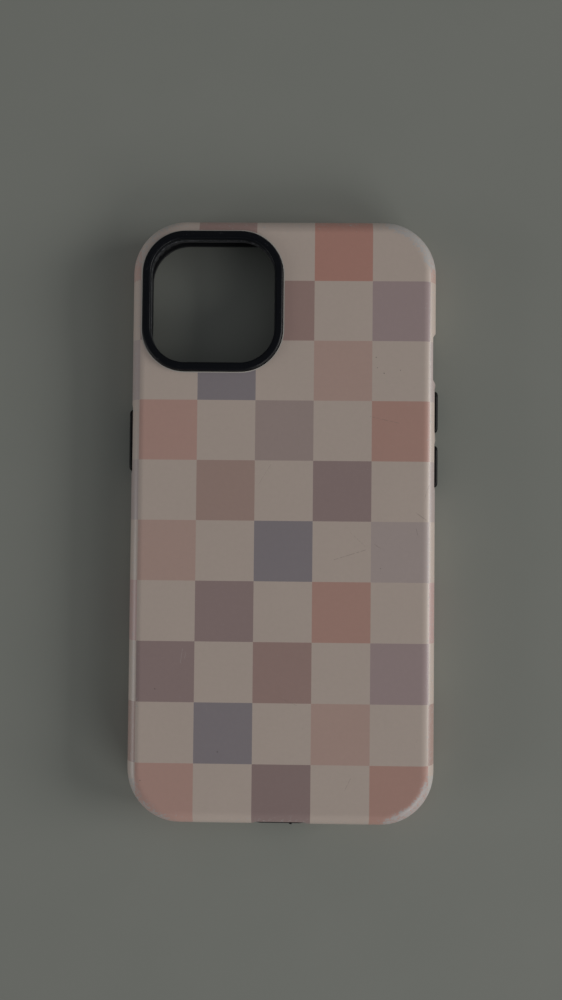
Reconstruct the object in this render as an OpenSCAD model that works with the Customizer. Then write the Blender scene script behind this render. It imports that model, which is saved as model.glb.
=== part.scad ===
// Two-layer phone case: a printed hard shell over a soft black liner that grips the phone.
// It lies on its front lip with the back up. The origin is the middle of the footprint, at the
// height of the lip's lowest face. +X points to the volume buttons, +Y to the camera end and
// +Z out of the back. All sizes are in millimetres.

/* [Phone] */
// Length of the phone that the case holds
phone_length = 146.7; // [120:0.1:180]
// Width of the phone
phone_width = 71.5; // [59:0.1:88]
// Thickness of the phone
phone_thickness = 7.65; // [6.3:0.05:10]
// Radius of the phone's corners, seen from the back
phone_corner_radius = 12.2; // [10:0.1:15]
// How far the phone's own keys stand out of its sides
key_proud = 0.4; // [0.2:0.05:0.45]

/* [Layers] */
// Gap between the phone's sides and the liner
phone_gap = 0.1; // [0.05:0.05:0.3]
// Gap between the phone's back and the liner, which the back ribs fill
back_gap = 0.3; // [0.2:0.05:0.8]
// Thickness of the liner's side walls
liner_wall = 1.35; // [1.1:0.05:1.7]
// Thickness of the liner's back
liner_back = 0.75; // [0.6:0.05:1.6]
// Clearance between the liner and the shell
layer_gap = 0.2; // [0.15:0.05:0.3]
// Thickness of the hard shell's side walls
shell_wall = 1.25; // [1.15:0.05:1.8]
// Thickness of the hard shell's back
shell_back = 1.15; // [0.9:0.05:2]
// How much tighter the liner's inner corners are than the phone's, which makes room for ribs
corner_rib_room = 1.5; // [1:0.1:2]
// Radius of the shell's rounded rear edge
rear_edge_radius = 3.8; // [2.6:0.1:4]

/* [Front lip] */
// How far the lip raises the screen off a table
lip_height = 1.2; // [0.8:0.1:2]
// How far the lip reaches in over the edge of the screen
lip_overlap = 0.9; // [0.6:0.1:2.5]
// How far the flange that carries the shell's rim stands above the lip
flange_step = 0.4; // [0.3:0.1:1]
// How far the flange's edge sits in from the shell's side
flange_inset = 0.15; // [0.05:0.05:0.4]
// Gap between the flange and the shell's rim
rim_gap = 0.15; // [0.1:0.05:0.4]
// Radius of the lip's two lower edges
lip_edge_radius = 0.5; // [0.2:0.05:0.6]

/* [Camera] */
// Outer width of the raised bezel, which is square
bezel_size = 35.4; // [26:0.1:43]
// Outer corner radius of the bezel
bezel_corner_radius = 10.8; // [6:0.1:12]
// Width of the bezel's rim
bezel_rim = 2.1; // [1.5:0.1:3]
// How far the bezel stands above the shell's back
bezel_rise = 1.1; // [0.6:0.1:2]
// Radius of the bezel's upper edges
bezel_edge_radius = 0.6; // [0.3:0.05:0.7]
// Clearance between the bezel and the shell's opening
bezel_gap = 0.15; // [0.1:0.05:0.3]
// Distance from the bezel's outer side to the case's left side
bezel_side_margin = 2.9; // [2.8:0.05:6]
// Distance from the bezel's outer side to the case's camera end
bezel_end_margin = 3.5; // [2.8:0.05:6]

/* [Buttons] */
// Length of each volume cap
volume_length = 10.7; // [8:0.1:14]
// Length of the side button's cap
side_button_length = 15.8; // [10:0.1:22]
// Height of every cap, across the case's thickness
cap_height = 3.4; // [3.1:0.1:4.2]
// Corner radius of every cap, seen from the side
cap_corner_radius = 1.5; // [0.8:0.1:1.5]
// Radius of a cap's outer edge
cap_edge_radius = 0.7; // [0.3:0.05:0.8]
// How far the caps stand out of the shell's sides
cap_proud = 0.95; // [0.5:0.05:1.5]
// How far a cap travels when it is pressed
press_travel = 0.5; // [0.2:0.05:0.55]
// Length of the nub on the inside of each cap
nub_length = 0.7; // [0.3:0.05:0.9]
// Clearance round each cap
cap_gap = 0.25; // [0.2:0.05:0.35]
// Width of the soft surround between a cap and the shell's slot
surround_width = 0.6; // [0.45:0.05:0.7]
// Clearance between a surround and the shell's slot
slot_gap = 0.15; // [0.1:0.05:0.2]
// How far a surround's face sits in from the shell's side
surround_inset = 0.4; // [0.3:0.05:0.6]
// Distance between the mute opening and the upper volume cap
mute_to_volume = 3.2; // [3:0.1:8]
// Distance between the two volume caps
volume_to_volume = 3.3; // [3.2:0.1:10]
// Distance from the case's camera end to the side button's middle
side_button_from_end = 55.95; // [45:0.05:70]

/* [Openings] */
// Distance from the case's camera end to the middle of the mute switch's opening
mute_from_end = 35.05; // [32:0.05:50]
// Length of the mute switch's opening
mute_length = 9; // [6:0.1:11]
// Height of the mute switch's opening
mute_height = 4.6; // [4.4:0.1:5]
// Width of the charging port's opening
port_width = 10.2; // [9.6:0.1:13]
// Height of the charging port's opening
port_height = 5; // [4.8:0.1:5.2]
// Width of the soft surround of the charging port
port_surround_width = 1.2; // [0.8:0.1:1.6]
// How far the port's surround reaches above its opening, towards the rear
port_surround_rise = 1.5; // [0.6:0.1:1.6]
// Corner radius of the mute and port openings
opening_corner_radius = 1.6; // [0.8:0.1:1.8]
// Length of each sound slot beside the charging port
sound_slot_length = 11; // [6:0.5:13]
// Height of each sound slot
sound_slot_height = 1.8; // [1:0.1:2.4]

/* [Scoops] */
// Depth of the dished area round each button slot
button_scoop_depth = 0.45; // [0.3:0.05:0.6]
// Depth of the dished area round the mute opening
mute_scoop_depth = 1; // [0.4:0.05:1]
// Depth of the dished area round the charging port
port_scoop_depth = 1.05; // [0.3:0.05:1.1]
// How far the flat floor of the mute and port dishes reaches past each end of the opening
dish_margin = 0.95; // [0.6:0.05:1.5]
// Length of a dished area's sloping edge
scoop_slope = 1.2; // [0.6:0.1:1.6]

/* [Ribs and beads] */
// Number of ribs in each inner corner
corner_rib_count = 5; // [3:1:7]
// Angle that one corner rib covers
corner_rib_angle = 6; // [3:1:7]
// Width of each back rib
back_rib_width = 1; // [0.6:0.1:2]
// Distance between back ribs
back_rib_pitch = 6; // [4:0.5:10]
// Length of each snap bead
bead_length = 8; // [4:0.5:10]
// Distance from a corner's curve to the nearest snap bead
bead_corner_margin = 3; // [1:0.5:6]
// Height of the snap beads above the shell's rim
bead_rise = 1.5; // [1.2:0.1:1.6]
// Radius of each snap bead
bead_radius = 0.45; // [0.4:0.05:0.5]
// Clearance between a bead and its groove
bead_gap = 0.15; // [0.1:0.05:0.2]

/* [Hidden] */
$fn = 96;

SHELL_COLOUR = "#d8c8bf";
LINER_COLOUR = "#15171d";
CAP_COLOUR = "#0d0f14";
CUT = 1;                 // how far a cutting shape runs past the face that it cuts
SCOOP_CORNER = 1.6;      // corner radius of the dished areas
CAVITY_EDGE = 0.3;       // radius between the liner's inner walls and its back
NUB_AIR = 0.15;          // air between a nub and the phone's key when the cap is let go
RIB_AIR = 0.05;          // air between the back ribs and the phone
RIB_END_GAP = 2;         // how far the back ribs stop short of the camera opening
RIB_ARC_START = 15;      // first and last direction of the ribs in a corner, in degrees
RIB_ARC_END = 75;
RIB_TIP_GAP = 1;         // how far the corner ribs stop short of the lip and the back
END_FLAT = 0.05;         // half of the flat left on the round ends of slots and nubs
TURN_RIGHT = 0;          // turns of a shape drawn on the +X side to the other sides
TURN_LEFT = 180;
TURN_BOTTOM = -90;

// Side walls, counted outwards from the phone
wall_stack = phone_gap + liner_wall + layer_gap + shell_wall;
case_width = phone_width + 2 * wall_stack;
case_length = phone_length + 2 * wall_stack;
cavity_width = phone_width + 2 * phone_gap;
cavity_length = phone_length + 2 * phone_gap;
liner_width = cavity_width + 2 * liner_wall;
liner_length = cavity_length + 2 * liner_wall;
cavity_radius = phone_corner_radius + phone_gap - corner_rib_room;
liner_radius = cavity_radius + liner_wall;
case_corner_radius = liner_radius + layer_gap + shell_wall;

// Heights, counted from the table
flange_top = lip_height + flange_step;
shell_rim = flange_top + rim_gap;
phone_back = lip_height + phone_thickness;
liner_inner_back = phone_back + back_gap;
liner_outer_back = liner_inner_back + liner_back;
shell_inner_back = liner_outer_back + layer_gap;
shell_top = shell_inner_back + shell_back;
bezel_top = shell_top + bezel_rise;
key_height = lip_height + phone_thickness / 2;

// Rounded rear edges, all about the same centres
shell_inner_edge = rear_edge_radius - shell_wall;
liner_edge = shell_inner_edge - layer_gap;

// Places along the sides, counted back from the camera end
mute_y = case_length / 2 - mute_from_end;
volume_up_y = mute_y - mute_length / 2 - mute_to_volume - volume_length / 2;
volume_down_y = volume_up_y - volume_length - volume_to_volume;
side_button_y = case_length / 2 - side_button_from_end;

camera_x = bezel_side_margin + bezel_size / 2 - case_width / 2;
camera_y = case_length / 2 - bezel_end_margin - bezel_size / 2;
camera_opening = bezel_size - 2 * bezel_rim;
camera_opening_radius = bezel_corner_radius - bezel_rim;

// Where a cap and its nub start and end, counted outwards from the middle of the case
nub_rest_gap = press_travel - key_proud + NUB_AIR;
nub_inside = phone_width / 2 + key_proud + nub_rest_gap;
cap_inside = nub_inside + nub_length;
cap_outside = case_width / 2 + cap_proud;
nub_height = cap_height / 2;
slot_top = key_height + cap_height / 2 + cap_gap + surround_width + slot_gap;
port_surround_top = key_height + port_height / 2 + port_surround_rise;

// Snap beads, on the straight stretches of the walls
straight_length = case_length / 2 - case_corner_radius;
straight_width = case_width / 2 - case_corner_radius;
sound_slot_x = (port_width / 2 + port_surround_width + straight_width) / 2;
bead_z = shell_rim + bead_rise;
middle_bead_y = -straight_length / 3;    // between the buttons and the port's end
bead_side_y = [
    bead_corner_margin + bead_length / 2 - straight_length,
    middle_bead_y,
    straight_length - bead_corner_margin - bead_length / 2
];
bead_end_x = [-1, 1] * (straight_width - bead_corner_margin - bead_length / 2);

// Outline of a rectangle with rounded corners, about its own middle
module rounded_outline(width, height, radius) {
    square([width - 2 * radius, height], center = true);
    square([width, height - 2 * radius], center = true);
    for (x = [-1, 1], y = [-1, 1])
        translate([x * (width / 2 - radius), y * (height / 2 - radius)])
            circle(radius);
}

// Section of a slab from its corner's axis to its rounded upper edge
module edge_section(radius, low, high, edge) {
    translate([0, low])
        square([radius, high - edge - low]);
    translate([0, low])
        square([radius - edge, high - low]);
    translate([radius - edge, high - edge])
        circle(edge);
}

// Sweeps a section round a rounded rectangle. The section is drawn as (distance from the
// corner's axis, height), and its outermost point lies at the corner radius.
module around(width, length, radius) {
    for (k = [0:3]) {
        half_out = (k % 2 == 0 ? width : length) / 2 - radius;
        half_along = (k % 2 == 0 ? length : width) / 2 - radius;
        rotate([0, 0, 90 * k])
            translate([half_out, half_along, 0]) {
                rotate_extrude(angle = 90)
                    children();
                rotate([90, 0, 0])
                    linear_extrude(2 * half_along)
                        children();
            }
    }
}

// Solid block with rounded corners and a rounded upper edge
module rounded_block(width, length, radius, low, high, edge) {
    around(width, length, radius)
        edge_section(radius, low, high, edge);
    translate([radius - width / 2, radius - length / 2, low])
        cube([width - 2 * radius, length - 2 * radius, high - low]);
}

// Tray with rounded corners, open below
module tray(width, length, radius, low, high, edge, wall, back, inner_edge) {
    around(width, length, radius)
        difference() {
            edge_section(radius, low, high, edge);
            translate([-CUT, 0])
                edge_section(radius - wall + CUT, low - CUT, high - back, inner_edge);
        }
    translate([radius - width / 2, radius - length / 2, high - back])
        cube([width - 2 * radius, length - 2 * radius, back]);
}

// Puts an outline, drawn as (along the side, height), on a side wall as a prism
module on_side(turn, along, inside, outside) {
    rotate([0, 0, turn])
        translate([inside, along, 0])
            rotate([90, 0, 90])
                linear_extrude(outside - inside)
                    children();
}

// Outline that is rounded at its top and runs straight down to a given height
module arch_outline(width, top, low, radius) {
    translate([-width / 2, low])
        square([width, top - radius - low]);
    translate([radius - width / 2, low])
        square([width - 2 * radius, top - low]);
    for (x = [-1, 1])
        translate([x * (width / 2 - radius), top - radius])
            circle(radius);
}

// Dished area of a side wall, from its rim up into the rounded rear edge, with sloping ends
module scoop(turn, along, face, length, depth) {
    low = shell_rim - CUT;
    rotate([0, 0, turn])
        translate([face, along, 0])
            rotate([90, 0, 90])
                hull() {
                    translate([0, 0, -depth])
                        linear_extrude(depth / 2)
                            arch_outline(length, shell_top, low, SCOOP_CORNER, $fn = 32);
                    translate([0, 0, depth])
                        linear_extrude(depth / 2)
                            arch_outline(length + 4 * scoop_slope, shell_top + 2 * scoop_slope,
                                low - CUT, SCOOP_CORNER, $fn = 32);
                }
}

module button_slot(turn, along, length) {
    width = length + 2 * (cap_gap + surround_width + slot_gap);
    on_side(turn, along, liner_width / 2 - CUT / 2, case_width / 2 + CUT)
        arch_outline(width, slot_top, shell_rim - CUT,
            cap_corner_radius + cap_gap + surround_width + slot_gap);
    scoop(turn, along, case_width / 2, length, button_scoop_depth);
}

module port_slot() {
    width = port_width + 2 * (port_surround_width + slot_gap);
    on_side(TURN_BOTTOM, 0, cavity_length / 2, case_length / 2 + CUT)
        arch_outline(width, port_surround_top + slot_gap, shell_rim - CUT,
            opening_corner_radius + slot_gap);
    scoop(TURN_BOTTOM, 0, case_length / 2, port_width + 2 * dish_margin, port_scoop_depth);
}

module mute_hole() {
    on_side(TURN_RIGHT, mute_y, cavity_width / 2 - CUT, case_width / 2 + CUT)
        translate([0, key_height])
            rounded_outline(mute_length, mute_height, opening_corner_radius);
}

module port_hole() {
    on_side(TURN_BOTTOM, 0, cavity_length / 2 - CUT, case_length / 2 + CUT)
        translate([0, key_height])
            rounded_outline(port_width, port_height, opening_corner_radius);
}

module sound_slots() {
    for (x = [-1, 1])
        on_side(TURN_BOTTOM, x * sound_slot_x, cavity_length / 2 - CUT, case_length / 2 + CUT)
            translate([0, key_height])
                rounded_outline(sound_slot_length, sound_slot_height,
                    sound_slot_height / 2 - END_FLAT);
}

module camera_hole(size, radius) {
    translate([camera_x, camera_y, liner_inner_back - CUT])
        linear_extrude(bezel_top)
            rounded_outline(size, size, radius);
}

// Bars along the liner's outer faces at each snap point, as beads or as the grooves for them
module snap_bars(radius, length) {
    for (turn = [TURN_RIGHT, TURN_LEFT], y = bead_side_y)
        snap_bar(turn, turn == TURN_RIGHT ? y : -y, liner_width / 2, radius, length);
    for (turn = [TURN_BOTTOM, -TURN_BOTTOM], x = bead_end_x)
        snap_bar(turn, x, liner_length / 2, radius, length);
}

module snap_bar(turn, along, face, radius, length) {
    rotate([0, 0, turn])
        translate([face, along + length / 2, bead_z])
            rotate([90, 0, 0])
                linear_extrude(length)
                    intersection() {
                        circle(radius);
                        translate([0, -radius])
                            square([radius, 2 * radius]);
                    }
}

// Printed hard shell: back, sides, rounded rear edge and all its cut-outs
module outer_shell() {
    color(SHELL_COLOUR)
        difference() {
            tray(case_width, case_length, case_corner_radius, shell_rim, shell_top,
                rear_edge_radius, shell_wall, shell_back, shell_inner_edge);
            camera_hole(bezel_size + 2 * bezel_gap, bezel_corner_radius + bezel_gap);
            button_slot(TURN_RIGHT, volume_up_y, volume_length);
            button_slot(TURN_RIGHT, volume_down_y, volume_length);
            button_slot(TURN_LEFT, -side_button_y, side_button_length);
            mute_hole();
            scoop(TURN_RIGHT, mute_y, case_width / 2, mute_length + 2 * dish_margin,
                mute_scoop_depth);
            port_slot();
            sound_slots();
            snap_bars(bead_radius + bead_gap, bead_length + 2 * bead_gap);
        }
}

// Soft tray that grips the phone
module inner_liner() {
    color(LINER_COLOUR)
        difference() {
            tray(liner_width, liner_length, liner_radius, flange_top, liner_outer_back,
                liner_edge, liner_wall, liner_back, CAVITY_EDGE);
            camera_hole(camera_opening, camera_opening_radius);
            mute_hole();
            port_hole();
            sound_slots();
            cap_window(TURN_RIGHT, volume_up_y, volume_length);
            cap_window(TURN_RIGHT, volume_down_y, volume_length);
            cap_window(TURN_LEFT, -side_button_y, side_button_length);
        }
}

module cap_window(turn, along, length) {
    on_side(turn, along, cavity_width / 2 - CUT, case_width / 2 + CUT)
        translate([0, key_height])
            rounded_outline(length + 2 * cap_gap, cap_height + 2 * cap_gap,
                cap_corner_radius + cap_gap);
}

// Soft lip over the screen's edge, with the flange that carries the shell's rim
module front_lip() {
    width = case_width - 2 * flange_inset;
    length = case_length - 2 * flange_inset;
    radius = case_corner_radius - flange_inset;
    inside = radius - (width - phone_width) / 2 - lip_overlap;
    phone_side = radius - (width - cavity_width) / 2;
    color(LINER_COLOUR)
        around(width, length, radius) {
            translate([inside, lip_edge_radius])
                square([radius - inside, lip_height - lip_edge_radius]);
            translate([inside + lip_edge_radius, 0])
                square([radius - inside - 2 * lip_edge_radius, lip_height]);
            for (x = [inside + lip_edge_radius, radius - lip_edge_radius])
                translate([x, lip_edge_radius])
                    circle(lip_edge_radius);
            translate([phone_side, lip_edge_radius])
                square([radius - phone_side, flange_top - lip_edge_radius]);
        }
}

// Raised ring round the camera opening, which guards the lenses
module camera_bezel() {
    outer = bezel_corner_radius;
    inner = outer - bezel_rim;
    edge = bezel_edge_radius;
    color(CAP_COLOUR)
        translate([camera_x, camera_y, 0])
            around(bezel_size, bezel_size, outer) {
                translate([inner, liner_outer_back])
                    square([bezel_rim, bezel_top - edge - liner_outer_back]);
                translate([inner + edge, liner_outer_back])
                    square([bezel_rim - 2 * edge, bezel_top - liner_outer_back]);
                for (x = [inner + edge, outer - edge])
                    translate([x, bezel_top - edge])
                        circle(edge);
            }
}

// Soft plinth that fills the shell's slot round one button
module button_surround(turn, along, length) {
    color(LINER_COLOUR)
        difference() {
            on_side(turn, along, liner_width / 2, case_width / 2 - surround_inset)
                arch_outline(length + 2 * (cap_gap + surround_width), slot_top - slot_gap,
                    flange_top, cap_corner_radius + cap_gap + surround_width);
            cap_window(turn, along, length);
        }
}

module volume_up_surround() {
    button_surround(TURN_RIGHT, volume_up_y, volume_length);
}

module volume_down_surround() {
    button_surround(TURN_RIGHT, volume_down_y, volume_length);
}

module side_button_surround() {
    button_surround(TURN_LEFT, -side_button_y, side_button_length);
}

// Soft plinth round the charging port's opening
module port_surround() {
    color(LINER_COLOUR)
        difference() {
            on_side(TURN_BOTTOM, 0, liner_length / 2, case_length / 2 - surround_inset)
                arch_outline(port_width + 2 * port_surround_width, port_surround_top,
                    flange_top, opening_corner_radius);
            port_hole();
        }
}

// Distance from the cavity corner's axis to the phone's corner, in a given direction
function phone_reach(angle) =
    let (offset = cavity_radius - phone_corner_radius - phone_gap,
        along = offset * (cos(angle) + sin(angle)))
    along + sqrt(along * along - 2 * offset * offset + phone_corner_radius * phone_corner_radius);

// Ribs that hold the phone's corners and crush in a fall
module corner_ribs() {
    low = lip_height + RIB_TIP_GAP;
    high = phone_back - RIB_TIP_GAP;
    pitch = (RIB_ARC_END - RIB_ARC_START) / corner_rib_count;
    color(LINER_COLOUR)
        for (k = [0:3], n = [1:corner_rib_count]) {
            angle = RIB_ARC_START + pitch * (n - 0.5);
            reach = phone_reach(angle) + phone_gap;
            across = k % 2 == 0 ? cavity_width : cavity_length;
            along = k % 2 == 0 ? cavity_length : cavity_width;
            rotate([0, 0, 90 * k])
                translate([across / 2 - cavity_radius, along / 2 - cavity_radius, low])
                    rotate([0, 0, angle - corner_rib_angle / 2])
                        rotate_extrude(angle = corner_rib_angle)
                            translate([reach, 0])
                                square([cavity_radius - reach, high - low]);
        }
}

// Low ribs that keep the phone off the liner's back. Those below the camera opening are shorter.
module back_ribs() {
    reach = cavity_length / 2 - cavity_radius;
    count = floor((cavity_width / 2 - cavity_radius / 2) / back_rib_pitch);
    camera_side = camera_x + camera_opening / 2 + back_rib_width;
    color(LINER_COLOUR)
        for (n = [-count:count]) {
            x = n * back_rib_pitch;
            end = x - back_rib_width / 2 < camera_side
                ? camera_y - camera_opening / 2 - RIB_END_GAP : reach;
            translate([x - back_rib_width / 2, -reach, phone_back + RIB_AIR])
                cube([back_rib_width, end + reach, back_gap - RIB_AIR]);
        }
}

// Soft half-round beads that click into the shell's grooves
module snap_beads() {
    color(LINER_COLOUR)
        snap_bars(bead_radius, bead_length);
}

// Cap that is pressed in from the side
module button_cap(turn, along, length) {
    color(CAP_COLOUR)
        rotate([0, 0, turn])
            translate([0, along, key_height])
                rotate([90, 0, 90])
                    rounded_block(length, cap_height, cap_corner_radius, cap_inside,
                        cap_outside, cap_edge_radius);
}

// Pad on the inside of a cap, which presses the phone's key
module button_nub(turn, along, length) {
    color(CAP_COLOUR)
        on_side(turn, along, nub_inside, cap_inside)
            translate([0, key_height])
                rounded_outline(length / 2, nub_height, nub_height / 2 - END_FLAT);
}

module volume_up_button() {
    button_cap(TURN_RIGHT, volume_up_y, volume_length);
}

module volume_up_nub() {
    button_nub(TURN_RIGHT, volume_up_y, volume_length);
}

module volume_down_button() {
    button_cap(TURN_RIGHT, volume_down_y, volume_length);
}

module volume_down_nub() {
    button_nub(TURN_RIGHT, volume_down_y, volume_length);
}

module side_button() {
    button_cap(TURN_LEFT, -side_button_y, side_button_length);
}

module side_button_nub() {
    button_nub(TURN_LEFT, -side_button_y, side_button_length);
}

outer_shell();
inner_liner();
front_lip();
camera_bezel();
port_surround();
volume_up_surround();
volume_down_surround();
side_button_surround();
corner_ribs();
back_ribs();
snap_beads();
volume_up_button();
volume_up_nub();
volume_down_button();
volume_down_nub();
side_button();
side_button_nub();
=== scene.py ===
import math

import bmesh
import bpy
from mathutils import Matrix, Vector


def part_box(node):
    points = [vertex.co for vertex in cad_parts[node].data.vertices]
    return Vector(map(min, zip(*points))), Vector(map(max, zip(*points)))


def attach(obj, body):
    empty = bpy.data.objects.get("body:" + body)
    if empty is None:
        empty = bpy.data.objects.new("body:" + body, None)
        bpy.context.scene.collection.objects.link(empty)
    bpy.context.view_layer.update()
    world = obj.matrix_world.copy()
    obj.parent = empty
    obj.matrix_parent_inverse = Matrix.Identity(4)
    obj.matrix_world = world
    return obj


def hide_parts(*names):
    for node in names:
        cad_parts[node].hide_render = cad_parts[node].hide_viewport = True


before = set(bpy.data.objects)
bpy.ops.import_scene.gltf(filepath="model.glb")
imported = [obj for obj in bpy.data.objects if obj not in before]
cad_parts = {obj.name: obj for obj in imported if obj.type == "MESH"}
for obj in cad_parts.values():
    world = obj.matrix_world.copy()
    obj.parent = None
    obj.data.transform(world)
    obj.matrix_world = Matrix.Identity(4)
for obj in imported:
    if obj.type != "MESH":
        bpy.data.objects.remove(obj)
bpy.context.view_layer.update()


# Inner liner: the soft tray that holds the phone and carries every other soft detail.
# It is one shot of black thermoplastic rubber with a fine matt spark-eroded grain, and
# the hard shell snaps over it.

MM = 0.001
WELD = 0.002 * MM
HARD_EDGE = math.radians(32)
SMOOTH_EDGE = math.radians(42)
NEARLY_FLAT = math.radians(0.5)


def moulded_piece(name, nodes, body, edge_radius):
    """Merged copy of CAD solids, with the small radius that a mould leaves on each edge."""
    bm = bmesh.new()
    for node in nodes:
        bm.from_mesh(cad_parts[node].data)
    bmesh.ops.remove_doubles(bm, verts=bm.verts, dist=WELD)
    bmesh.ops.dissolve_limit(bm, angle_limit=NEARLY_FLAT, verts=bm.verts, edges=bm.edges)
    hard = [e for e in bm.edges if e.is_manifold and e.calc_face_angle() > HARD_EDGE]
    bmesh.ops.bevel(
        bm, geom=hard, offset=edge_radius, offset_type="OFFSET", segments=2, profile=0.5,
        affect="EDGES", clamp_overlap=True, material=-1)
    return finished_piece(bm, name, nodes, body)


def finished_piece(bm, name, nodes, body):
    """Turns a bmesh into a smooth-shaded piece that rides on a body and stands for nodes."""
    mesh = bpy.data.meshes.new(name)
    for face in bm.faces:
        face.smooth = True
    bm.to_mesh(mesh)
    bm.free()
    mesh.set_sharp_from_angle(angle=SMOOTH_EDGE)
    piece = bpy.data.objects.new(name, mesh)
    bpy.context.scene.collection.objects.link(piece)
    # Flat faces keep their own direction, so that round edges don't shade across them
    flats = piece.modifiers.new("flat faces", "WEIGHTED_NORMAL")
    flats.mode = "FACE_AREA"
    flats.weight = 50
    flats.keep_sharp = True
    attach(piece, body)
    if nodes:
        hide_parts(*nodes)
    return piece


def add_node(tree, kind, sockets=(), **options):
    """A shader node with its options set and its sockets linked or filled."""
    node = tree.nodes.new("ShaderNode" + kind)
    for option, value in options.items():
        setattr(node, option, value)
    for key, value in dict(sockets).items():
        if isinstance(value, bpy.types.NodeSocket):
            tree.links.new(value, node.inputs[key])
        else:
            node.inputs[key].default_value = value
    return node


def calc(tree, operation, first, second=0.0, third=0.0):
    """One sum on numbers, as a node."""
    sockets = {0: first, 1: second, 2: third}
    return add_node(tree, "Math", sockets, operation=operation).outputs[0]


def ramp(tree, value, low, high, start=0.0, end=1.0):
    """Takes a value from low..high to start..end, smoothly and within the two."""
    sockets = {"Value": value, "From Min": low, "From Max": high, "To Min": start, "To Max": end}
    return add_node(tree, "MapRange", sockets, interpolation_type="SMOOTHSTEP").outputs[0]


def noise(tree, point, scale, detail=3.0, roughness=0.5):
    """Cloudy noise from 0 to 1, with scale in cycles a metre."""
    sockets = {"Vector": point, "Scale": scale, "Detail": detail, "Roughness": roughness}
    return add_node(tree, "TexNoise", sockets).outputs[0]


def blend_colour(tree, amount, first, second):
    """Mixes two colours by an amount."""
    node = add_node(tree, "Mix", {0: amount, 6: first, 7: second}, data_type="RGBA")
    return node.outputs[2]


def new_finish(name):
    """An empty material, with its node tree, its shader and the point on the piece."""
    material = bpy.data.materials.new(name)
    material.use_nodes = True
    tree = material.node_tree
    shader = tree.nodes["Principled BSDF"]
    point = add_node(tree, "TexCoord").outputs["Object"]
    return material, tree, shader, point


def black_plastic(name, colour, dust_colour, gloss, grain_depth, rubbed, seam=None):
    """Black moulded plastic: fine grain, uneven sheen and pale dust, with more at a seam."""
    material, tree, shader, point = new_finish(name)
    grain = noise(tree, point, 5200.0, 2.0)
    clouds = noise(tree, point, 130.0, 4.0, 0.6)
    smears = noise(tree, add_node(tree, "Mapping", {
        "Vector": point, "Scale": (1.0, 0.25, 1.0), "Rotation": (0.0, 0.0, 0.5)}).outputs[0],
        420.0, 5.0, 0.7)
    dust = calc(tree, "MULTIPLY", ramp(tree, noise(tree, point, 2300.0, 2.0), 0.66, 0.78),
                ramp(tree, clouds, 0.45, 0.7))
    if seam:
        height = add_node(tree, "SeparateXYZ", {0: point}).outputs[2]
        off_seam = calc(tree, "ABSOLUTE", calc(tree, "SUBTRACT", height, seam))
        lodged = calc(tree, "MULTIPLY", ramp(tree, off_seam, 0.5 * MM, 0.15 * MM),
                      ramp(tree, noise(tree, point, 1700.0, 4.0, 0.7), 0.42, 0.62))
        dust = calc(tree, "MAXIMUM", dust, lodged)
    tint = blend_colour(tree, clouds, (*[0.75 * c for c in colour], 1.0), (*colour, 1.0))
    coloured = blend_colour(tree, calc(tree, "MULTIPLY", dust, 0.55), tint, (*dust_colour, 1.0))
    rubs = ramp(tree, smears, 0.5, 0.72)
    rough = calc(tree, "SUBTRACT", gloss, calc(tree, "MULTIPLY", rubs, rubbed))
    rough = calc(tree, "ADD", rough, calc(tree, "MULTIPLY", dust, 0.2))
    tree.links.new(coloured, shader.inputs["Base Color"])
    tree.links.new(rough, shader.inputs["Roughness"])
    bump = add_node(tree, "Bump", {"Height": grain, "Distance": grain_depth, "Strength": 0.8})
    waves = add_node(tree, "Bump", {
        "Height": clouds, "Distance": 0.04 * MM, "Strength": 0.5, "Normal": bump.outputs[0]})
    tree.links.new(waves.outputs[0], shader.inputs["Normal"])
    return material


def dress(piece, finish):
    """Puts a finish on a piece in place of whatever it had."""
    piece.data.materials.clear()
    piece.data.materials.append(finish)


liner_finish = black_plastic(
    "liner rubber", (0.013, 0.014, 0.017), (0.16, 0.16, 0.15), 0.52, 0.012 * MM, 0.12)
liner_finish.node_tree.nodes["Principled BSDF"].inputs["Sheen Weight"].default_value = 0.08
liner = moulded_piece("liner_tray", ["inner_liner"], "liner", 0.12 * MM)
dress(liner, liner_finish)


# Front lip: the rolled edge that stands proud of the screen and holds the glass in.
# It is part of the liner's shot, and it is rubbed smooth where the case lies on a table.

lip = moulded_piece("screen_lip", ["front_lip"], "liner", 0.1 * MM)
dress(lip, liner_finish)


# Camera bezel: the raised ring that keeps the lenses off the table.
# It belongs to the liner's black moulding and comes up through the shell's opening, with a
# polished outer round, a flat land and a small inner step.

def swept_ring(bm, section, half, corner, centre, corner_steps):
    """Carries a closed section round a square with round corners: out along, then round."""
    points = [bm.verts.new((centre.x + half + x, centre.y - half + corner, z)) for x, z in section]
    edges = [bm.edges.new((points[i - 1], points[i])) for i in range(len(points))]
    for side in range(4):
        turn = Matrix.Rotation(side * math.pi / 2, 3, "Z")
        drawn = bmesh.ops.extrude_edge_only(bm, edges=edges)["geom"]
        points = [item for item in drawn if isinstance(item, bmesh.types.BMVert)]
        edges = [item for item in drawn if isinstance(item, bmesh.types.BMEdge)]
        edges = [e for e in edges if all(v in points for v in e.verts)]
        step = turn @ Vector((0, 2 * (half - corner), 0))
        bmesh.ops.translate(bm, verts=points, vec=step)
        axis = centre + turn @ Vector((half - corner, half - corner, 0))
        spun = bmesh.ops.spin(
            bm, geom=points + edges, cent=axis, axis=(0, 0, 1), dvec=(0, 0, 0),
            angle=math.pi / 2, steps=corner_steps, use_merge=False)["geom_last"]
        points = [item for item in spun if isinstance(item, bmesh.types.BMVert)]
        edges = [item for item in spun if isinstance(item, bmesh.types.BMEdge)]
    bmesh.ops.remove_doubles(bm, verts=bm.verts, dist=WELD)
    bmesh.ops.recalc_face_normals(bm, faces=bm.faces)


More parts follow.
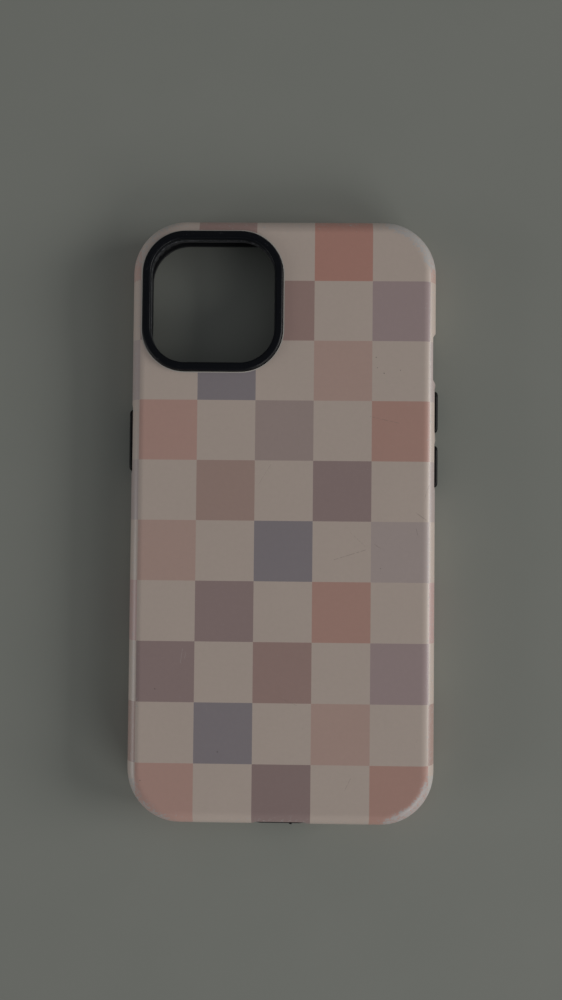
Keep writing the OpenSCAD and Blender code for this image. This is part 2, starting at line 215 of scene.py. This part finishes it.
def round_corner(centre, radius, first, last, steps):
    """Points of an arc in a section, from one direction to another in degrees."""
    turns = [math.radians(first + (last - first) * n / steps) for n in range(steps + 1)]
    return [(centre[0] + radius * math.cos(a), centre[1] + radius * math.sin(a)) for a in turns]


bezel_low, bezel_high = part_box("camera_bezel")
bezel_centre = Vector(((bezel_low.x + bezel_high.x) / 2, (bezel_low.y + bezel_high.y) / 2, 0))
bezel_half = (bezel_high.x - bezel_low.x) / 2
bezel_corner = 10.8 * MM
bezel_rim = 2.1 * MM
bezel_top = bezel_high.z
bezel_outer_round = 0.6 * MM
bezel_inner_round = 0.35 * MM
bezel_step = 0.5 * MM
bezel_drop = 0.08 * MM

bezel_section = [(-bezel_rim, bezel_low.z), (0.0, bezel_low.z)]
bezel_section += round_corner(
    (-bezel_outer_round, bezel_top - bezel_outer_round), bezel_outer_round, 0, 90, 7)
bezel_section += [
    (-bezel_rim + bezel_step + 0.5 * bezel_drop, bezel_top),
    (-bezel_rim + bezel_step, bezel_top - bezel_drop)]
bezel_section += round_corner(
    (-bezel_rim + bezel_inner_round, bezel_top - bezel_drop - bezel_inner_round),
    bezel_inner_round, 90, 180, 5)

bm = bmesh.new()
swept_ring(bm, bezel_section, bezel_half, bezel_corner, bezel_centre, 22)
bezel = finished_piece(bm, "camera_ring", ["camera_bezel"], "liner")
bezel_finish = black_plastic(
    "bezel plastic", (0.002, 0.003, 0.006), (0.30, 0.30, 0.33), 0.38, 0.006 * MM, 0.10,
    bezel_low.z + 0.55 * MM)
bezel_finish.node_tree.nodes["Principled BSDF"].inputs["Specular IOR Level"].default_value = 0.30
dress(bezel, bezel_finish)


# Surrounds: the soft plinths that fill the shell's slots round the charging port and the
# buttons. They are part of the liner's shot, and the port's keeps the pip where it was gated.

port_surround = moulded_piece(
    "charging_port_surround", ["port_surround"], "liner", 0.1 * MM)
dress(port_surround, liner_finish)
for place in ("volume_up", "volume_down", "side_button"):
    surround = moulded_piece(
        place + "_plinth", [place + "_surround"], "liner", 0.08 * MM)
    dress(surround, liner_finish)

port_low, port_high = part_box("port_surround")
pip_radius = 0.4 * MM
bm = bmesh.new()
bmesh.ops.create_uvsphere(bm, u_segments=20, v_segments=12, radius=pip_radius)
bmesh.ops.scale(bm, vec=(1.0, 0.6, 0.9), verts=bm.verts)
bmesh.ops.translate(
    bm, vec=(port_low.x + 0.72 * (port_high.x - port_low.x), port_low.y, port_high.z), verts=bm.verts)
gate_pip = finished_piece(bm, "gate_pip", [], "liner")
dress(gate_pip, liner_finish)


# Ribs and beads: the cushion ribs behind the phone, the crush ribs in the corners and the
# beads that the shell snaps over. All are part of the liner's shot.

for node in ("corner_ribs", "back_ribs", "snap_beads"):
    dress(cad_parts[node], liner_finish)


# Printed shell: the hard outer half, clear-coated polycarbonate with a check printed in its
# skin on the back and the sides. Its inside and the edge of the camera opening stay plain.

shell_low, shell_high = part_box("outer_shell")
shell_half_x = (shell_high.x - shell_low.x) / 2
shell_half_y = (shell_high.y - shell_low.y) / 2
shell_corner = 13.6 * MM
rear_round = 3.8 * MM
print_depth = 1.02 * MM

check_pitch_x = 14.609 * MM
check_pitch_y = 15.1235 * MM
check_left = -36.23 * MM
check_top = 60.34 * MM

CREAM = (0.78, 0.645, 0.56, 1.0)
PLAIN_PLASTIC = (0.74, 0.70, 0.64, 1.0)
INKS = {
    "terracotta": (0.71, 0.370, 0.298, 1.0),
    "salmon": (0.70, 0.416, 0.344, 1.0),
    "rose": (0.74, 0.463, 0.391, 1.0),
    "peach": (0.72, 0.500, 0.428, 1.0),
    "clay": (0.54, 0.361, 0.321, 1.0),
    "taupe": (0.60, 0.416, 0.358, 1.0),
    "heather": (0.56, 0.426, 0.419, 1.0),
    "mauve": (0.47, 0.342, 0.326, 1.0),
    "plum": (0.44, 0.315, 0.298, 1.0),
    "slate": (0.39, 0.342, 0.363, 1.0),
    "sand": (0.65, 0.536, 0.502, 1.0),
    "pink": (0.74, 0.509, 0.465, 1.0),
    "ash": (0.56, 0.435, 0.400, 1.0),
}
# The three inks of each row of the check, from the camera end down
check_rows = (
    "clay terracotta peach",
    "mauve clay heather",
    "slate peach sand",
    "rose ash salmon",
    "taupe mauve sand",
    "peach slate sand",
    "mauve salmon pink",
    "mauve clay heather",
    "slate peach taupe",
    "rose plum salmon",
)


def outline_inset(tree, x, y, half_x, half_y, corner):
    """How far inside a rectangle with round corners a point is."""
    across = calc(tree, "SUBTRACT", calc(tree, "ABSOLUTE", x), half_x - corner)
    along = calc(tree, "SUBTRACT", calc(tree, "ABSOLUTE", y), half_y - corner)
    reach = calc(tree, "SQRT", calc(
        tree, "ADD",
        calc(tree, "POWER", calc(tree, "MAXIMUM", across, 0.0), 2.0),
        calc(tree, "POWER", calc(tree, "MAXIMUM", along, 0.0), 2.0)))
    flat = calc(tree, "MINIMUM", calc(tree, "MAXIMUM", across, along), 0.0)
    return calc(tree, "SUBTRACT", corner, calc(tree, "ADD", reach, flat))


def printed_check(tree, x, y):
    """The dyed check: cream squares, with the inks of check_rows between them."""
    column = calc(tree, "FLOOR", calc(
        tree, "DIVIDE", calc(tree, "SUBTRACT", x, check_left), check_pitch_x))
    row = calc(tree, "FLOOR", calc(
        tree, "DIVIDE", calc(tree, "SUBTRACT", check_top + check_pitch_y, y), check_pitch_y))
    row = calc(tree, "MINIMUM", calc(tree, "MAXIMUM", row, 0.0), len(check_rows) - 1.0)
    inked = calc(tree, "FLOORED_MODULO", calc(tree, "ADD", row, column), 2.0)
    place = calc(tree, "FLOORED_MODULO", calc(
        tree, "FLOOR", calc(tree, "DIVIDE", column, 2.0)), 3.0)
    number = calc(tree, "ADD", calc(tree, "MULTIPLY", row, 3.0), place)
    names = " ".join(check_rows).split()
    inks = add_node(tree, "ValToRGB", {
        0: calc(tree, "DIVIDE", calc(tree, "ADD", number, 0.5), float(len(names)))})
    stops = inks.color_ramp
    stops.interpolation = "CONSTANT"
    stops.elements[0].color = INKS[names[0]]
    stops.elements[1].position = 1.0 / len(names)
    stops.elements[1].color = INKS[names[1]]
    for n in range(2, len(names)):
        stops.elements.new(n / len(names)).color = INKS[names[n]]
    return blend_colour(tree, inked, CREAM, inks.outputs[0])


def scratch_group():
    """A node group for one straight hairline: 1 on the line, 0 away from it."""
    tree = bpy.data.node_groups.new("hairline", "ShaderNodeTree")
    for label, kind in (
            ("Point", "Vector"), ("Start", "Vector"), ("Run", "Vector"), ("Width", "Float")):
        tree.interface.new_socket(name=label, in_out="INPUT", socket_type="NodeSocket" + kind)
    tree.interface.new_socket(name="Mark", in_out="OUTPUT", socket_type="NodeSocketFloat")
    given = tree.nodes.new("NodeGroupInput")
    result = tree.nodes.new("NodeGroupOutput")

    def vector(operation, first, second, key=1):
        return add_node(tree, "VectorMath", {0: first, key: second}, operation=operation)

    away = vector("SUBTRACT", given.outputs["Point"], given.outputs["Start"]).outputs[0]
    run = given.outputs["Run"]
    share = calc(
        tree, "DIVIDE", vector("DOT_PRODUCT", away, run).outputs["Value"],
        vector("DOT_PRODUCT", run, run).outputs["Value"])
    share = calc(tree, "MINIMUM", calc(tree, "MAXIMUM", share, 0.0), 1.0)
    foot = vector("SCALE", run, share, "Scale").outputs[0]
    gap = vector("SUBTRACT", away, foot).outputs[0]
    distance = add_node(tree, "VectorMath", {0: gap}, operation="LENGTH").outputs["Value"]
    mark = ramp(tree, distance, 0.0, given.outputs["Width"], 1.0, 0.0)
    tree.links.new(mark, result.inputs["Mark"])
    return tree


# Start, run and width of each scratch on the back, in millimetres
scratches = (
    ((21.8, 26.2), (7.1, -1.6), 0.16),
    ((13.0, -9.7), (7.8, 2.5), 0.15),
    ((16.7, -2.5), (4.1, -3.9), 0.08),
    ((23.1, -5.8), (1.5, -1.0), 0.14),
    ((36.5, 8.9), (-1.2, -3.7), 0.14),
    ((33.3, 2.2), (2.6, -1.8), 0.20),
    ((33.4, -1.8), (0.4, -1.6), 0.16),
    ((34.0, -54.0), (-0.8, -2.0), 0.10),
    ((17.6, -63.7), (-1.6, -3.2), 0.10),
    ((-6.0, 9.0), (3.0, 5.0), 0.07),
    ((4.0, -46.0), (-5.0, 2.2), 0.07),
)
# Scratches that show lighter than the ink, in the same way
pale_scratches = (
    ((-24.6, -32.3), (-0.5, -3.5), 0.12),
    ((-23.7, -33.1), (-0.4, -1.6), 0.10),
)
# Middle and radius of each dark speck on the back, in millimetres
dark_specks = (
    (23.2, 41.1, 0.20),
    (23.5, 38.5, 0.16),
    (25.2, 37.1, 0.22),
    (29.3, 37.9, 0.16),
    (-15.6, -57.7, 0.24),
    (-31.4, -42.3, 0.22),
    (24.6, -11.8, 0.16),
    (-34.8, -65.0, 0.22),
)


def shell_material():
    """The coated print, with its scratches, specks, rubbed corners lightened partly by wear and
    partly as a painted sheen, and plain plastic inside.
    """
    material, tree, shader, point = new_finish("printed shell")
    parts = add_node(tree, "SeparateXYZ", {0: point})
    x, y, z = parts.outputs
    flat_point = add_node(tree, "CombineXYZ", {0: x, 1: y}).outputs[0]

    inset = outline_inset(tree, x, y, shell_half_x, shell_half_y, shell_corner)
    over_edge = calc(tree, "MAXIMUM", calc(tree, "SUBTRACT", rear_round, inset), 0.0)
    over_top = calc(tree, "MAXIMUM", calc(tree, "SUBTRACT", z, shell_high.z - rear_round), 0.0)
    skin = calc(tree, "SUBTRACT", rear_round, calc(
        tree, "SQRT", calc(tree, "ADD", calc(tree, "POWER", over_edge, 2.0),
                           calc(tree, "POWER", over_top, 2.0))))
    bezel_x = calc(tree, "SUBTRACT", x, bezel_centre.x)
    bezel_y = calc(tree, "SUBTRACT", y, bezel_centre.y)
    into_hole = outline_inset(tree, bezel_x, bezel_y, bezel_half, bezel_half, bezel_corner)

    clouds = noise(tree, point, 60.0, 4.0, 0.55)
    mottle = noise(tree, point, 900.0, 3.0, 0.6)
    grain = noise(tree, point, 6000.0, 2.0)

    dyed = printed_check(tree, x, y)
    shade = calc(tree, "ADD", 0.94, calc(tree, "MULTIPLY", mottle, 0.07))
    shade = calc(tree, "ADD", shade, calc(tree, "MULTIPLY", clouds, 0.05))
    dyed = add_node(tree, "HueSaturation", {"Value": shade, "Color": dyed}).outputs[0]

    # Rubbing takes the gloss and some colour off the round edges, most at the corners. The pale grey
    # there is rub wear and also a painted sheen, so the right corners, on the window side, get more
    # of it.
    into_corner = calc(
        tree, "MINIMUM",
        calc(tree, "SUBTRACT", calc(tree, "ABSOLUTE", x), shell_half_x - shell_corner),
        calc(tree, "SUBTRACT", calc(tree, "ABSOLUTE", y), shell_half_y - shell_corner))
    # Right corners weigh more than left ones: partly wear, partly painted sheen from the window side
    corner_rub_and_sheen = calc(tree, "MULTIPLY", ramp(tree, into_corner, -1.0 * MM, 4.5 * MM),
                     ramp(tree, x, -6.0 * MM, 6.0 * MM, 0.3, 1.0))
    at_edge = calc(tree, "MULTIPLY", ramp(tree, inset, 4.6 * MM, 1.2 * MM),
                   ramp(tree, z, 4.5 * MM, 8.0 * MM))
    rub_and_sheen_at = calc(tree, "MULTIPLY", at_edge, calc(tree, "ADD", 0.3, corner_rub_and_sheen))
    rub_grain = noise(tree, point, 1300.0, 5.0, 0.8)
    rub_limit = calc(tree, "SUBTRACT", 0.64, calc(
        tree, "MULTIPLY", calc(tree, "MINIMUM", rub_and_sheen_at, 0.8), 0.34))
    rub_and_sheen = ramp(tree, calc(tree, "SUBTRACT", rub_grain, rub_limit), 0.0, 0.13)
    rub_and_sheen = calc(tree, "MULTIPLY", rub_and_sheen, 0.8)

    lines = scratch_group()
    broken = ramp(tree, noise(tree, point, 1300.0, 3.0), 0.34, 0.52)

    def drawn_lines(group):
        drawn = 0.0
        for start, run, width in group:
            line = add_node(tree, "Group", {"Point": flat_point}, node_tree=lines)
            line.inputs["Start"].default_value = (start[0] * MM, start[1] * MM, 0.0)
            line.inputs["Run"].default_value = (run[0] * MM, run[1] * MM, 0.0)
            line.inputs["Width"].default_value = width * MM
            drawn = calc(tree, "MAXIMUM", drawn, line.outputs["Mark"])
        return calc(tree, "MULTIPLY", drawn, broken)

    marks = drawn_lines(scratches)
    pale_marks = drawn_lines(pale_scratches)

    hairs = 0.0
    for turn in (0.5, 1.9, 2.7):
        stretched = add_node(tree, "Mapping", {
            "Vector": flat_point, "Rotation": (0.0, 0.0, turn), "Scale": (1.0, 0.035, 1.0)})
        fine = noise(tree, stretched.outputs[0], 3000.0, 1.0)
        hairs = calc(tree, "MAXIMUM", hairs, ramp(tree, fine, 0.71, 0.78))
    hairs = calc(tree, "MULTIPLY", hairs, ramp(tree, clouds, 0.4, 0.65))

    specks = add_node(tree, "TexVoronoi", {
        "Vector": flat_point, "Scale": 130.0, "Randomness": 1.0}, voronoi_dimensions="2D")
    rare = add_node(tree, "TexWhiteNoise", {
        "Vector": specks.outputs["Position"]}, noise_dimensions="2D").outputs["Value"]
    dot_size = calc(tree, "MULTIPLY", ramp(tree, rare, 0.975, 1.0), 0.03)
    dots = calc(tree, "LESS_THAN", specks.outputs["Distance"], dot_size)
    for speck_x, speck_y, radius in dark_specks:
        middle = (speck_x * MM, speck_y * MM, 0.0)
        gap = add_node(tree, "VectorMath", {0: flat_point, 1: middle}, operation="DISTANCE")
        spot = ramp(tree, gap.outputs["Value"], radius * MM, 0.5 * radius * MM)
        dots = calc(tree, "MAXIMUM", dots, spot)

    dyed = blend_colour(tree, calc(tree, "MULTIPLY", marks, 0.4), dyed, (0.30, 0.24, 0.21, 1.0))
    dyed = blend_colour(tree, calc(tree, "MULTIPLY", pale_marks, 0.3), dyed, (0.85, 0.80, 0.76, 1.0))
    dyed = blend_colour(tree, calc(tree, "MULTIPLY", dots, 0.55), dyed, (0.12, 0.10, 0.09, 1.0))
    # Rub wear plus painted sheen: rubbed edges lightened towards pale grey, most at the right corners
    dyed = blend_colour(tree, rub_and_sheen, dyed, (0.64, 0.63, 0.62, 1.0))
    printed = calc(tree, "MULTIPLY",
                   ramp(tree, skin, print_depth + 0.03 * MM, print_depth - 0.03 * MM),
                   ramp(tree, into_hole, -0.34 * MM, -0.44 * MM))
    colour = blend_colour(tree, printed, PLAIN_PLASTIC, dyed)
    tree.links.new(colour, shader.inputs["Base Color"])

    rough = calc(tree, "ADD", 0.38, calc(tree, "MULTIPLY", clouds, 0.02))
    rough = calc(tree, "ADD", rough, calc(tree, "MULTIPLY", rub_and_sheen, 0.3))
    tree.links.new(rough, shader.inputs["Roughness"])
    shader.inputs["Coat Weight"].default_value = 0.55
    shader.inputs["Coat Roughness"].default_value = 0.28
    shader.inputs["Specular IOR Level"].default_value = 0.5

    dents = calc(tree, "SUBTRACT", 1.0, calc(
        tree, "MAXIMUM", marks, calc(tree, "MULTIPLY", hairs, 0.35)))
    cut = add_node(tree, "Bump", {"Height": dents, "Distance": 0.02 * MM, "Strength": 0.6})
    skin_grain = add_node(tree, "Bump", {
        "Height": grain, "Distance": 0.003 * MM, "Strength": 0.6, "Normal": cut.outputs[0]})
    ripple = add_node(tree, "Bump", {
        "Height": noise(tree, point, 90.0, 1.0), "Distance": 0.003 * MM, "Strength": 0.5,
        "Normal": skin_grain.outputs[0]})
    tree.links.new(ripple.outputs[0], shader.inputs["Normal"])
    tree.links.new(skin_grain.outputs[0], shader.inputs["Coat Normal"])
    return material


shell = moulded_piece("printed_shell", ["outer_shell"], "shell", 0.14 * MM)
dress(shell, shell_material())


# Button caps: satin black bars with round ends. On the real case a soft skin joins each one
# to its surround; here each is a piece of its own that slides. The face has a shallow dish.

CAP_CORNER = 1.5 * MM
CAP_EDGE = 0.7 * MM
DISH_MARGIN = 0.28 * MM
DISH_SLOPE = 0.22 * MM
DISH_DEPTH = 0.05 * MM


def button_cap(name, node, body, outward):
    low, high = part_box(node)
    centre = (low + high) / 2
    size = high - low
    bm = bmesh.new()
    bmesh.ops.create_cube(bm, size=1.0)
    bmesh.ops.scale(bm, vec=size, verts=bm.verts)
    bmesh.ops.translate(bm, vec=centre, verts=bm.verts)
    upright = [e for e in bm.edges if abs(e.verts[0].co.x - e.verts[1].co.x) > size.x / 2]
    bmesh.ops.bevel(
        bm, geom=upright, offset=CAP_CORNER, offset_type="OFFSET", segments=9, profile=0.5,
        affect="EDGES", clamp_overlap=True, material=-1)
    face = max(bm.faces, key=lambda f: outward * f.calc_center_median().x)
    bmesh.ops.bevel(
        bm, geom=list(face.edges), offset=CAP_EDGE, offset_type="OFFSET", segments=6,
        profile=0.5, affect="EDGES", clamp_overlap=True, material=-1)
    face = max(bm.faces, key=lambda f: outward * f.calc_center_median().x)
    bmesh.ops.inset_region(bm, faces=[face], thickness=DISH_MARGIN, depth=0.0)
    bmesh.ops.inset_region(bm, faces=[face], thickness=DISH_SLOPE, depth=-DISH_DEPTH)
    bmesh.ops.recalc_face_normals(bm, faces=bm.faces)
    cap = finished_piece(bm, name, [node], body)
    dress(cap, cap_finish)


cap_finish = black_plastic(
    "button plastic", (0.006, 0.006, 0.007), (0.15, 0.15, 0.14), 0.5, 0.005 * MM, 0.12)
cap_finish.node_tree.nodes["Principled BSDF"].inputs["Specular IOR Level"].default_value = 0.22
button_cap("volume_up_cap", "volume_up_button", "volume_up", 1)
button_cap("volume_down_cap", "volume_down_button", "volume_down", 1)
button_cap("side_cap", "side_button", "side_key", -1)


# Button nubs: the small pads behind the caps, which reach the phone's own keys.

for node in ("volume_up_nub", "volume_down_nub", "side_button_nub"):
    dress(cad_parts[node], cap_finish)


# Table, light and camera: a plain pale table, a large soft window low on the right, weaker
# light from the near side, and a camera almost straight above the back.

table_size = 16.0
bm = bmesh.new()
bmesh.ops.create_grid(bm, x_segments=8, y_segments=8, size=table_size / 2)
bmesh.ops.translate(bm, verts=bm.verts, vec=(0, 0, -0.02 * MM))
table_mesh = bpy.data.meshes.new("table_top")
bm.to_mesh(table_mesh)
bm.free()
table = bpy.data.objects.new("table_top", table_mesh)
bpy.context.scene.collection.objects.link(table)

table_finish, tree, shader, point = new_finish("table top")
table_tone = blend_colour(
    tree, noise(tree, point, 35.0, 4.0), (0.375, 0.39, 0.35, 1.0), (0.405, 0.415, 0.375, 1.0))
tree.links.new(table_tone, shader.inputs["Base Color"])
shader.inputs["Roughness"].default_value = 0.7
shader.inputs["Specular IOR Level"].default_value = 0.25
dress(table, table_finish)


def soft_light(name, place, width, height, power, colour):
    """A rectangular lamp aimed at the middle of the case."""
    lamp = bpy.data.lights.new(name, "AREA")
    lamp.shape = "RECTANGLE"
    lamp.size = width
    lamp.size_y = height
    lamp.energy = power
    lamp.color = colour
    holder = bpy.data.objects.new(name, lamp)
    bpy.context.scene.collection.objects.link(holder)
    holder.location = place
    holder.rotation_euler = (-Vector(place)).to_track_quat("-Z", "Y").to_euler()


soft_light("window", (2.25, 0.0, 0.82), 1.3, 0.9, 20.0, (1.0, 0.99, 0.97))
soft_light("near_window", (1.41, -1.68, 0.99), 1.2, 0.9, 10.5, (1.0, 0.99, 0.97))
soft_light("left_fill", (-2.0, -0.5, 0.5), 1.2, 0.7, 6.0, (1.0, 0.99, 0.98))

world = bpy.data.worlds.new("room")
bpy.context.scene.world = world
world.use_nodes = True
room = world.node_tree.nodes["Background"]
room.inputs["Color"].default_value = (0.93, 0.96, 1.0, 1.0)
room.inputs["Strength"].default_value = 0.125
bpy.context.scene.view_settings.view_transform = "Standard"

lens = bpy.data.cameras.new("camera")
lens.sensor_fit = "VERTICAL"
lens.sensor_width = 36.0
lens.sensor_height = 36.0
lens.lens = 28.8
lens.clip_start = 0.01
camera = bpy.data.objects.new("camera", lens)
bpy.context.scene.collection.objects.link(camera)
camera.location = (2.367 * MM, 0.299 * MM, 211.368 * MM)
camera.rotation_euler = (math.radians(1.376), math.radians(0.768), math.radians(0.548))
bpy.context.scene.camera = camera
